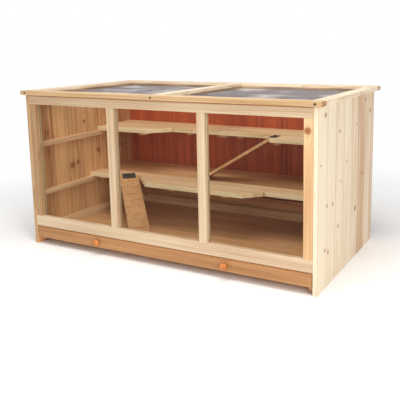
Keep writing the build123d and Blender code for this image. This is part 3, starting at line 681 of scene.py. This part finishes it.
class CAGE_OT_shelves(CageOperator):
    """Finish the two shelves, their battens and their cleats, with a painted highlight on the shelves' front
    faces and painted shade on the lower shelf's rear boards
    """

    bl_idname = "cage.shelves"
    bl_label = "Shelves"

    def execute(self, context):
        shelf, pale = tints("shelf"), tints("edge")
        boards = [name for name in sorted(frame["nodes"]) if name.endswith("_board") and "ramp" not in name]
        for seed, name in enumerate(boards, 41):
            # Painted shade: the lower shelf's two rear boards, under the upper shelf, take the darker inside
            # tints
            wood_tints = tints("inside") if name in ("lower_third_board", "lower_rear_board") else shelf
            low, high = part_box(name)
            joints = None if "rear" in name else (2 * (high.y - low.y), high)
            wood = timber(
                f"pine_{name}",
                X_AXIS,
                Y_AXIS,
                seed,
                *wood_tints,
                joints,
                board_share=0.15,
                joint_and_painted_shadow_width=2 * JOINT_LINE,
                # Painted highlight: the front faces take the paler edge tints
                inner=(-Y_AXIS, *pale),
            )
            finish_node(name, wood)
        for seed, name in enumerate(("upper_ledger", "lower_ledger"), 61):
            finish_node(name, timber(f"pine_{name}", X_AXIS, Z_AXIS, seed, *shelf, knot_chance=0.1))
        # The cleats take the same pale edge tints all over, the tints of the shelves' painted highlight
        cleats = [name for name in sorted(frame["nodes"]) if name.endswith("cleats")]
        for seed, name in enumerate(cleats, 64):
            finish_node(name, timber(f"pine_{name}", Y_AXIS, Z_AXIS, seed, *pale, knot_chance=0.0))
        runners = [name for name in sorted(frame["nodes"]) if name.endswith(("batten", "runner"))]
        for seed, name in enumerate(runners, 66):
            finish_node(name, timber(f"pine_{name}", Y_AXIS, Z_AXIS, seed, *shelf, knot_chance=0.1))
        return {"FINISHED"}


RAMP_WIDTH = 76 * MM


def ramp_axes(level):
    """The directions down and across a ramp, read from its board and its joint."""
    joint = next(j for j in frame["joints"] if j["child"] == f"{level}_ramp")
    across = Vector(joint["axis"]).normalized()
    low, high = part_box(f"{level}_ramp_board")
    heading = Z_AXIS.cross(across)
    flat = abs(heading.x) * (high.x - low.x) + abs(heading.y) * (high.y - low.y)
    flat -= 2 * abs(heading.x * heading.y) * RAMP_WIDTH
    down = (heading * -flat - Z_AXIS * (high.z - low.z)).normalized()
    return down, across


class CAGE_OT_ramps(CageOperator):
    """Finish the two ramps"""

    bl_idname = "cage.ramps"
    bl_label = "Ramps"

    def execute(self, context):
        # The upper ramp takes the inside tints, the same darker tints as the painted shade inside the cage
        for seed, level, kind in ((71, "lower", "shelf"), (73, "upper", "inside")):
            down, across = ramp_axes(level)
            wood = timber(f"pine_{level}_ramp_board", down, across, seed, *tints(kind), knot_chance=0.35)
            finish_node(f"{level}_ramp_board", wood)
        return {"FINISHED"}


class CAGE_OT_lid(CageOperator):
    """Finish the lid's rails, with painted light in the paler tints of the side, back and middle ones"""

    bl_idname = "cage.lid"
    bl_label = "Lid"

    def execute(self, context):
        # Painted light: the lid's side, back and middle rails take the paler side tints
        side = tints("side")
        front = timber("pine_lid_front_rail", X_AXIS, Z_AXIS, 81, *tints("lid"), knot_chance=0.1)
        finish_node("lid_front_rail", front)
        finish_node("lid_back_rail", timber("pine_lid_back_rail", X_AXIS, Y_AXIS, 82, *side))
        for seed, name in enumerate(("lid_left_rail", "lid_right_rail", "lid_middle_bar"), 83):
            finish_node(name, timber(f"pine_{name}", Y_AXIS, X_AXIS, seed, *side))
        return {"FINISHED"}


def mesh_object(name, builder, smooth=False):
    """A new object from a bmesh that the builder fills."""
    mesh = bpy.data.meshes.new(name)
    shape = bmesh.new()
    builder(shape)
    bmesh.ops.recalc_face_normals(shape, faces=shape.faces)
    for face in shape.faces:
        face.smooth = smooth
    shape.to_mesh(mesh)
    shape.free()
    made = bpy.data.objects.new(name, mesh)
    bpy.context.scene.collection.objects.link(made)
    return made


# Turned knobs, as shares of the head's length and greatest radius, from the drawer face to the crown
KNOB_PROFILE = (
    (0.0, 0.50),
    (0.06, 0.52),
    (0.16, 0.46),
    (0.26, 0.62),
    (0.38, 0.86),
    (0.52, 0.99),
    (0.62, 1.0),
    (0.76, 0.90),
    (0.89, 0.66),
    (0.97, 0.34),
    (1.0, 0.0),
)
KNOB_STEPS = 40

# Points closer than these are one point
KNOB_MERGE = 0.01 * MM
PART_MERGE = 0.001 * MM
SCREW_MERGE = 0.005 * MM


def turned_knob(name, source):
    """A knob turned on a lathe, in the place of a node of the frame."""
    low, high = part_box(source)
    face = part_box("tray_front")[0].y
    middle = (low + high) / 2
    radius, length = (high.x - low.x) / 2, face - low.y

    def build(shape):
        places = [(middle.x + r * radius, face - t * length, middle.z) for t, r in KNOB_PROFILE]
        row = [shape.verts.new(place) for place in places]
        edges = [shape.edges.new(pair) for pair in zip(row, row[1:])]
        bmesh.ops.spin(
            shape,
            geom=row + edges,
            cent=(middle.x, face, middle.z),
            axis=Y_AXIS,
            angle=2 * math.pi,
            steps=KNOB_STEPS,
            use_merge=True,
        )
        bmesh.ops.remove_doubles(shape, verts=shape.verts, dist=KNOB_MERGE)
        bmesh.ops.holes_fill(shape, edges=shape.edges, sides=0)

    knob = mesh_object(name, build, smooth=True)
    smoother = knob.modifiers.new("smoother", "SUBSURF")
    smoother.levels = smoother.render_levels = 1
    return knob


def loose_parts(name):
    """The separate solids of a node, each as its list of points."""
    shape = bmesh.new()
    shape.from_mesh(frame["nodes"][name].data)
    shape.transform(frame["nodes"][name].matrix_world)
    bmesh.ops.remove_doubles(shape, verts=shape.verts, dist=PART_MERGE)
    waiting, parts = set(shape.verts), []
    while waiting:
        found, edge = set(), {waiting.pop()}
        while edge:
            found |= edge
            edge = {other for vert in edge for link in vert.link_edges for other in link.verts} - found
        waiting -= found
        parts.append([vert.co.copy() for vert in sorted(found, key=lambda v: v.index)])
    shape.free()
    return sorted(parts, key=lambda points: tuple(round(c, 5) for c in min(points, key=tuple)))


def screw_head(points):
    """The middle of a screw's head, the way that it faces, its radius and the screw's length."""
    low = Vector(min(p[i] for p in points) for i in range(3))
    high = Vector(max(p[i] for p in points) for i in range(3))
    sizes = high - low
    line = max(range(3), key=lambda i: sizes[i])
    middle = (low + high) / 2
    side = [i for i in range(3) if i != line]

    def reach(level):
        ring = [p for p in points if abs(p[line] - level) < RING_DEPTH]
        return max((math.hypot(*(p[i] - middle[i] for i in side)) for p in ring), default=0.0)

    facing = Vector((0, 0, 0))
    facing[line] = -1.0 if reach(low[line]) > reach(high[line]) else 1.0
    middle[line] = (low if facing[line] < 0 else high)[line]
    return middle, facing, max(reach(low[line]), reach(high[line])), sizes[line]


# A cross-recessed countersunk screw: its sizes as shares of the head's radius, and the recess's taper
RECESS_ARM = 0.62
RECESS_WIDTH = 0.13
RECESS_DEPTH = 0.40
HEAD_CONE = 0.9
SHANK_SHARE = 0.5
RECESS_TAPER = 0.8

# Steps in a quarter of the rim, radians from one screw's turn to the next, and the depth searched for a rim
HEAD_ARC = 8
SCREW_TURN = 0.7
RING_DEPTH = 0.2 * MM


def add_screw(shape, middle, facing, radius, length, turn):
    """One cross-recessed countersunk screw."""
    new = []

    def vert(x, y, z=0.0):
        made = shape.verts.new((x * radius, y * radius, z * radius))
        new.append(made)
        return made

    for quarter in range(4):
        spin = Matrix.Rotation(quarter * math.pi / 2, 3, "Z")
        inner = [(0, 0), (RECESS_ARM, 0), (RECESS_ARM, RECESS_WIDTH), (RECESS_WIDTH, RECESS_WIDTH)]
        inner += [(RECESS_WIDTH, RECESS_ARM), (0, RECESS_ARM)]
        angles = [math.pi / 2 * i / HEAD_ARC for i in range(HEAD_ARC + 1)]
        arc = [(math.cos(angle), math.sin(angle)) for angle in angles]
        turned = [spin @ Vector((*place, 0)) for place in inner]
        rim = [spin @ Vector((*place, 0)) for place in arc]
        floor = [vert(v.x * RECESS_TAPER, v.y * RECESS_TAPER, -RECESS_DEPTH) for v in turned]
        lip = [vert(v.x, v.y) for v in turned[1:]]
        edge = [vert(v.x, v.y) for v in rim]
        neck = [vert(v.x * SHANK_SHARE, v.y * SHANK_SHARE, -HEAD_CONE) for v in rim]
        tip = [vert(v.x * SHANK_SHARE, v.y * SHANK_SHARE, -length / radius) for v in rim]
        end = vert(0, 0, -length / radius)
        shape.faces.new(floor)
        shape.faces.new([*edge, *reversed(lip)])
        for upper, lower in ((lip, floor[1:]), (edge, neck), (neck, tip)):
            for i in range(len(upper) - 1):
                shape.faces.new((upper[i], upper[i + 1], lower[i + 1], lower[i]))
        for i in range(HEAD_ARC):
            shape.faces.new((tip[i], tip[i + 1], end))
    place = Matrix.Translation(middle) @ facing.to_track_quat("Z", "Y").to_matrix().to_4x4()
    bmesh.ops.transform(shape, matrix=place @ Matrix.Rotation(turn, 4, "Z"), verts=new)


def cross_screws(name, source):
    """Cross-recessed screws in the place of a node's plain ones, each stopped at its own turn."""

    def build(shape):
        for number, points in enumerate(loose_parts(source)):
            add_screw(shape, *screw_head(points), turn=SCREW_TURN * number)
        bmesh.ops.remove_doubles(shape, verts=shape.verts, dist=SCREW_MERGE)

    return mesh_object(name, build)


class CAGE_OT_tray(CageOperator):
    """Finish the tray and its knobs, with a painted shadow along the top edge of the tray front"""

    bl_idname = "cage.tray"
    bl_label = "Tray"

    def execute(self, context):
        finish_node("tray_front", rail_wood_with_painted_shadow("tray_front", 91, *tints("tray"), painted_shadow_width=TRAY_FRONT_PAINTED_SHADOW))
        plain = tints("shelf")
        for seed, name in enumerate(("tray_left_side", "tray_right_side"), 92):
            finish_node(name, timber(f"pine_{name}", Y_AXIS, Z_AXIS, seed, *plain))
        finish_node("tray_back", timber("pine_tray_back", X_AXIS, Z_AXIS, 94, *plain))
        # The tray bottom takes the inside tints, the same darker tints as the painted shade inside the cage
        bottom = timber("plywood_tray_bottom", X_AXIS, Y_AXIS, 95, *tints("inside"), knot_chance=0.0)
        finish_node("tray_bottom", bottom)
        turned = timber("turned_knob", Z_AXIS, X_AXIS, 96, *tints("knob"), knot_chance=0.0)
        for name in ("left_knob", "right_knob"):
            knob = turned_knob(f"turned_{name}", name)
            knob.data.materials.append(turned)
            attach(knob, "tray")
            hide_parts(name)
        return {"FINISHED"}


class CAGE_OT_panes(CageOperator):
    """Finish the window and lid panes, with patches of painted reflection"""

    bl_idname = "cage.panes"
    bl_label = "Panes"

    def execute(self, context):
        window = clear_pane("window_pane", "#FBFDFB", 0.002, "#5E5E5E", "#707070")
        for name in ("left_window", "middle_window", "right_window"):
            finish_node(name, window)
        top = clear_pane("lid_pane", "#FAFBFA", 0.02, "#A39EA3", "#EFEAE6")
        for name in ("lid_left_pane", "lid_right_pane"):
            finish_node(name, top)
        return {"FINISHED"}


class CAGE_OT_metal(CageOperator):
    """Finish the hinges and screws"""

    bl_idname = "cage.metal"
    bl_label = "Hinges and screws"

    def execute(self, context):
        plate = zinc_plate("zinc_plated_steel", "#6B6257", 0.42)
        dull = zinc_plate("dark_hinge_steel", "#2E2A27", 0.45)
        for name in sorted(frame["nodes"]):
            if name.startswith(("lower_ramp", "upper_ramp")) and not name.endswith("board"):
                finish_node(name, dull)
            elif "hinge" in name or "screws" in name:
                finish_node(name, plate)
        for source, body in (("body_hinge_screws", "body"), ("lid_screws", "lid")):
            screws = cross_screws(f"cross_{source}", source)
            screws.data.materials.append(plate)
            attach(screws, body)
            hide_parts(source)
        return {"FINISHED"}


def area_lamp(name, place, target, size, power, colour):
    """A large soft lamp that points at a place on the cage."""
    data = bpy.data.lights.new(name, "AREA")
    data.shape = "RECTANGLE"
    data.size, data.size_y = size
    data.energy = power
    data.color = linear(colour)[:3]
    lamp = bpy.data.objects.new(name, data)
    lamp.location = place
    lamp.rotation_euler = (Vector(target) - Vector(place)).to_track_quat("-Z", "Y").to_euler()
    bpy.context.scene.collection.objects.link(lamp)


def seen_directly(tree):
    """One for rays from the camera, from mirrors and through clear sheet, and none for light on things."""
    path = node(tree, "ShaderNodeLightPath")
    seen = maths(tree, "MAXIMUM", path.outputs["Is Camera Ray"], path.outputs["Is Glossy Ray"])
    return maths(tree, "MAXIMUM", seen, path.outputs["Is Transmission Ray"])


# Floor, from the cage's middle: its half width, and where it fades to white
FLOOR_REACH = 12.0
FADE_START = 0.75
FADE_END = 1.7

# Soft lamps: name, place, target, size and colour
LAMPS = (
    ("key", (2.6, -2.0, 1.35), (0.1, 0, 0.3), (1.0, 1.0), "#FFFAF4"),
    ("top", (0.2, -0.9, 2.8), (-0.1, 0.1, 0.3), (2.0, 2.0), "#FFFDFA"),
    ("fill", (1.0, -3.2, 1.3), (-0.2, 0.2, 0.3), (1.8, 1.2), "#FFF8F0"),
)

# Camera: its sensor in millimetres, its shift in picture widths, and how far it sees
SENSOR_WIDTH = 36.0
CAMERA_SHIFT = (-0.0968, -0.1486)
FAR_CLIP = 100.0


class CAGE_OT_stage(CageOperator):
    """Set up the plain floor, soft lamps and camera"""

    bl_idname = "cage.stage"
    bl_label = "Studio"

    def execute(self, context):
        self.floor()
        self.lamps()
        self.camera()
        return {"FINISHED"}

    def floor(self):
        """Pale paper that holds the cage's shadow, and turns into the white room further away."""
        paper = mesh_object("studio_floor", lambda shape: bmesh.ops.create_grid(shape, size=FLOOR_REACH))
        material, tree, output = blank_material("studio_paper")
        matt = node(tree, "ShaderNodeBsdfDiffuse", {"Color": linear(paint().floor)})
        white = node(tree, "ShaderNodeEmission", {"Color": (1, 1, 1, 1), "Strength": 1.0})
        place = node(tree, "ShaderNodeTexCoord").outputs["Object"]
        away = vector_maths(tree, "LENGTH", place, output=1)
        limits = {"Value": away, "From Min": FADE_START, "From Max": FADE_END}
        fade = node(tree, "ShaderNodeMapRange", limits, interpolation_type="SMOOTHSTEP").outputs[0]
        share = maths(tree, "MULTIPLY", fade, seen_directly(tree))
        both = node(tree, "ShaderNodeMixShader", {0: share, 1: matt.outputs[0], 2: white.outputs[0]})
        tree.links.new(both.outputs[0], output.inputs["Surface"])
        paper.data.materials.append(material)

    def lamps(self):
        """An even room light, and soft lamps at the right, overhead and in front."""
        world = bpy.data.worlds.new("studio_room")
        bpy.context.scene.world = world
        world.use_nodes = True
        tree = world.node_tree
        tree.nodes.clear()
        output = node(tree, "ShaderNodeOutputWorld")
        seen = seen_directly(tree)
        room = node(tree, "ShaderNodeBackground", {"Color": linear("#F7F8FA"), "Strength": studio().sky})
        white = node(tree, "ShaderNodeBackground", {"Color": (1, 1, 1, 1), "Strength": 1.0})
        both = node(tree, "ShaderNodeMixShader", {0: seen, 1: room.outputs[0], 2: white.outputs[0]})
        tree.links.new(both.outputs[0], output.inputs["Surface"])
        for name, place, target, size, colour in LAMPS:
            area_lamp(f"{name}_lamp", place, target, size, getattr(studio(), f"{name}_power"), colour)

    def camera(self):
        """The camera at the photograph's angle."""
        settings = studio()
        data = bpy.data.cameras.new("photo_camera")
        data.sensor_width = SENSOR_WIDTH
        data.lens = settings.focal * data.sensor_width
        data.shift_x, data.shift_y = CAMERA_SHIFT
        data.clip_end = FAR_CLIP
        camera = bpy.data.objects.new("photo_camera", data)
        angles = settings.camera_turn, settings.camera_dip, settings.camera_roll
        turn, dip, roll = (math.radians(angle) for angle in angles)
        look = Vector((-math.sin(turn) * math.cos(dip), math.cos(turn) * math.cos(dip), -math.sin(dip)))
        right = Vector((math.cos(turn), math.sin(turn), 0.0))
        up = right.cross(look)
        side = right * math.cos(roll) + up * math.sin(roll)
        top = up * math.cos(roll) - right * math.sin(roll)
        turned = Matrix((side, top, -look)).transposed().to_4x4()
        camera.matrix_world = Matrix.Translation(settings.camera_place) @ turned
        bpy.context.scene.collection.objects.link(camera)
        bpy.context.scene.camera = camera


class CAGE_PT_panel(bpy.types.Panel):
    """Lists the steps that finish the cage"""

    bl_idname = "CAGE_PT_panel"
    bl_label = "Rodent cage"
    bl_space_type = "VIEW_3D"
    bl_region_type = "UI"
    bl_category = "Cage"

    def draw(self, context):
        for step in STEPS:
            self.layout.operator(step.bl_idname)
        for group in (context.scene.cage_paint, context.scene.cage_studio):
            for key in group.__annotations__:
                self.layout.prop(group, key)


STEPS = (
    CAGE_OT_frame,
    CAGE_OT_panels,
    CAGE_OT_back,
    CAGE_OT_shelves,
    CAGE_OT_ramps,
    CAGE_OT_lid,
    CAGE_OT_tray,
    CAGE_OT_panes,
    CAGE_OT_metal,
    CAGE_OT_stage,
)
CLASSES = (CagePaint, CageStudio, *STEPS, CAGE_PT_panel)


def register():
    """Register the cage's classes and settings."""
    for kind in CLASSES:
        bpy.utils.register_class(kind)
    bpy.types.Scene.cage_paint = PointerProperty(type=CagePaint)
    bpy.types.Scene.cage_studio = PointerProperty(type=CageStudio)


def unregister():
    """Remove the cage's classes and settings."""
    del bpy.types.Scene.cage_paint
    del bpy.types.Scene.cage_studio
    for kind in reversed(CLASSES):
        bpy.utils.unregister_class(kind)


def main():
    """Finish the whole cage."""
    register()
    for step in STEPS:
        category, action = step.bl_idname.split(".")
        getattr(getattr(bpy.ops, category), action)()
    bpy.context.scene.view_settings.view_transform = "Standard"


if __name__ == "__main__":
    main()
